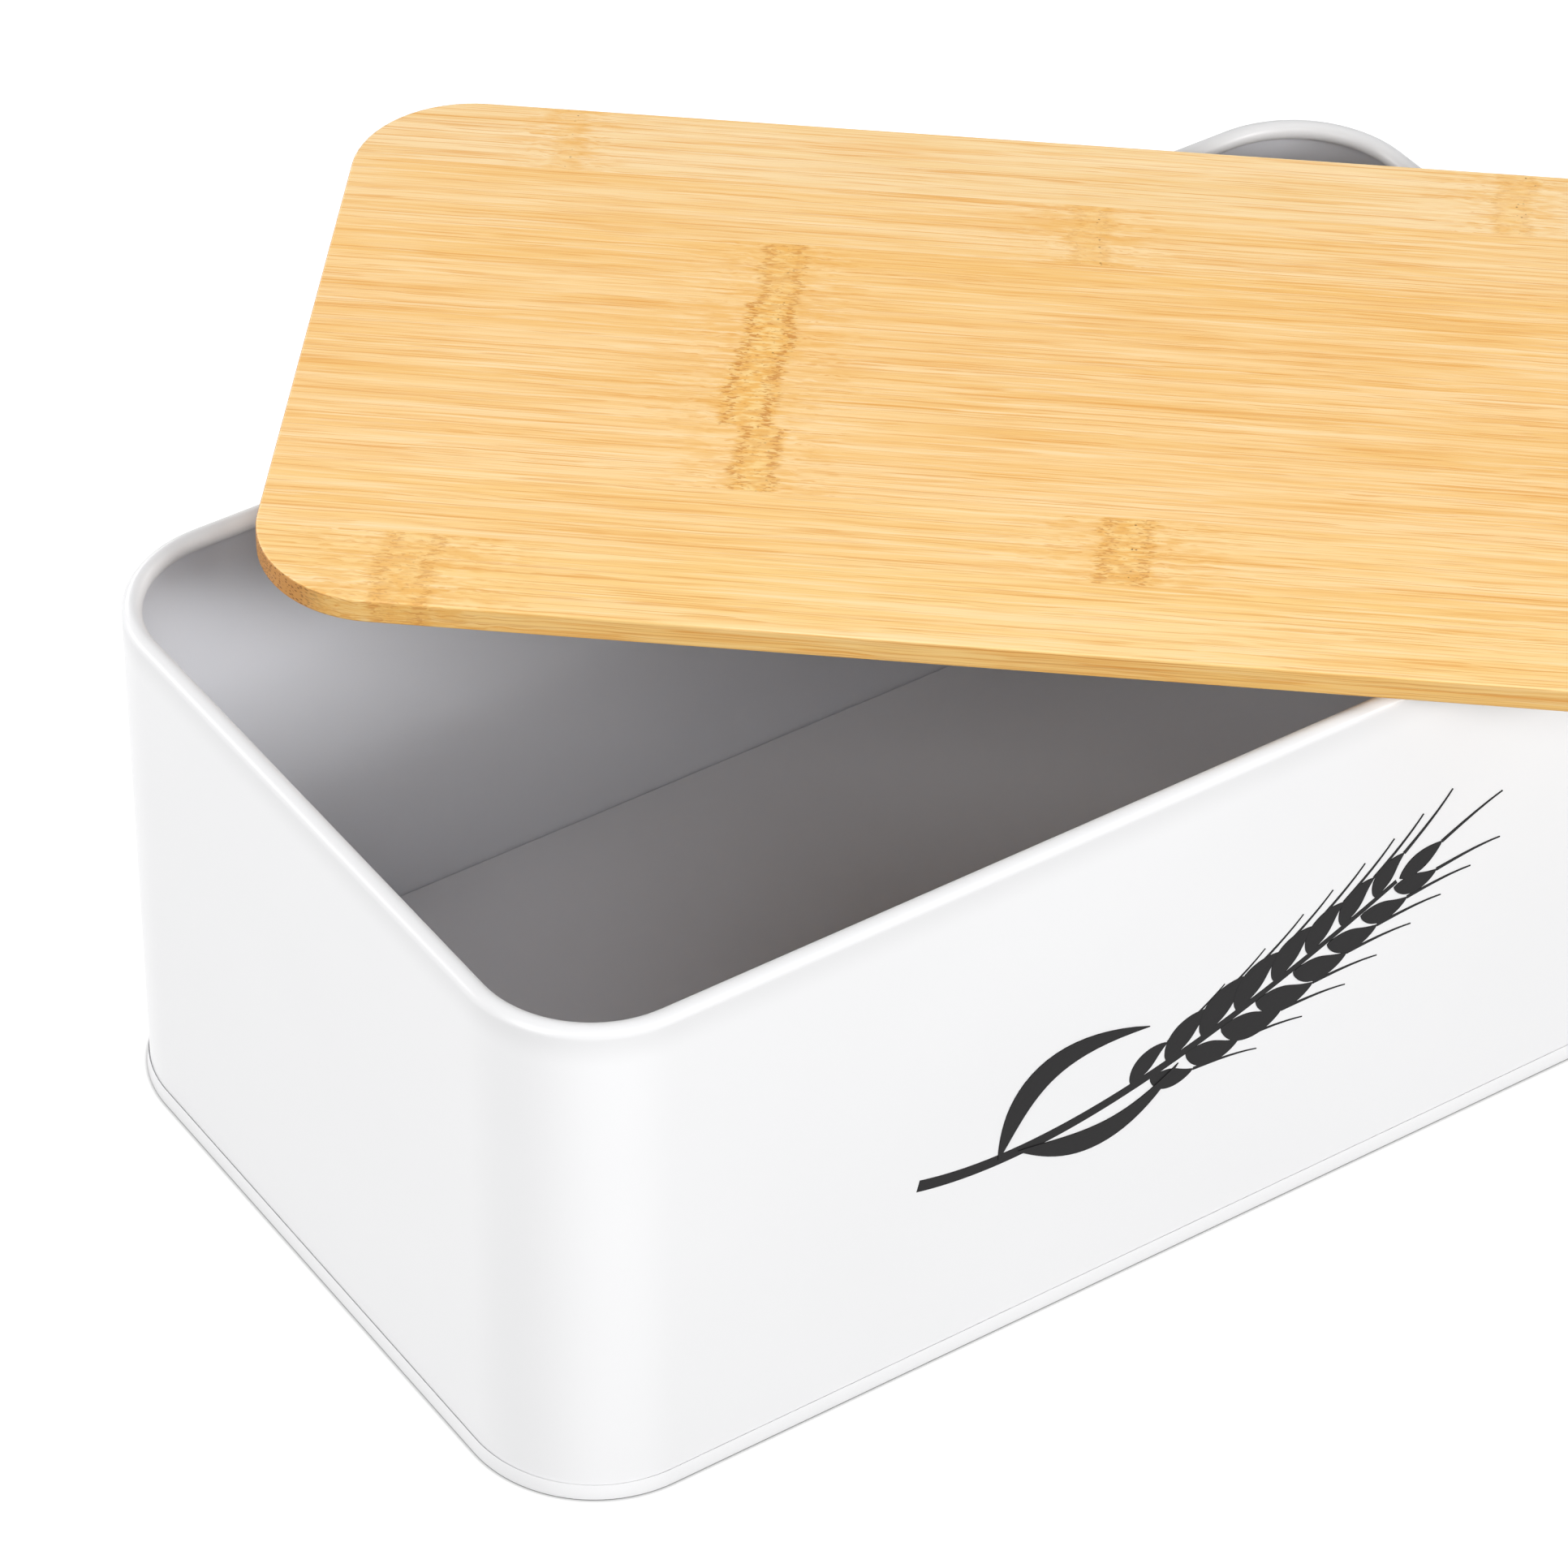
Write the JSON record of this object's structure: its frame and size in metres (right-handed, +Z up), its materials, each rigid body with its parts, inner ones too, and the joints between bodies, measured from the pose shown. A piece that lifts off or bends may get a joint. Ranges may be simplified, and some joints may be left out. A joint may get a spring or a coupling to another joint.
{
  "type": "bread bin with lift-off lid",
  "caption": "Rounded rectangular sheet-steel bread bin with a rolled rim and a flat laminated bamboo lid that lifts off, lying askew on the rim.",
  "frame": {"origin": "centre of the bin's footprint, on the surface it stands on", "axes": "+Z up out of the bin's mouth, +X along the bin's long side, -Y towards the printed front"},
  "size_m": [0.378, 0.329, 0.1381],
  "materials": {
    "white_enamel": "gloss powder coat on sheet steel",
    "print": "dark charcoal printed motif",
    "bamboo_face": "sanded and oiled flat-grain bamboo",
    "bamboo_core": "sanded flat-grain bamboo"
  },
  "bodies": {
    "bin": {"wall": "white_enamel", "bottom_panel": "white_enamel"},
    "lid": {"board_strip_1": "bamboo_face", "board_strip_2": "bamboo_face", "board_strip_3": "bamboo_face", "board_strip_4": "bamboo_face", "board_strip_5": "bamboo_face", "board_strip_6": "bamboo_face", "board_strip_7": "bamboo_face", "board_strip_8": "bamboo_face", "locating_strip_1": "bamboo_core", "locating_strip_2": "bamboo_core", "locating_strip_3": "bamboo_core", "locating_strip_4": "bamboo_core", "locating_strip_5": "bamboo_core", "locating_strip_6": "bamboo_core", "locating_strip_7": "bamboo_core", "locating_strip_8": "bamboo_core", "locating_strip_9": "bamboo_core"}
  },
  "joints": [
    {"name": "lid_lift", "type": "slide", "parent": "bin", "child": "lid", "axis": [0, 0, 1], "range_m": [0, 0.15]}
  ]
}
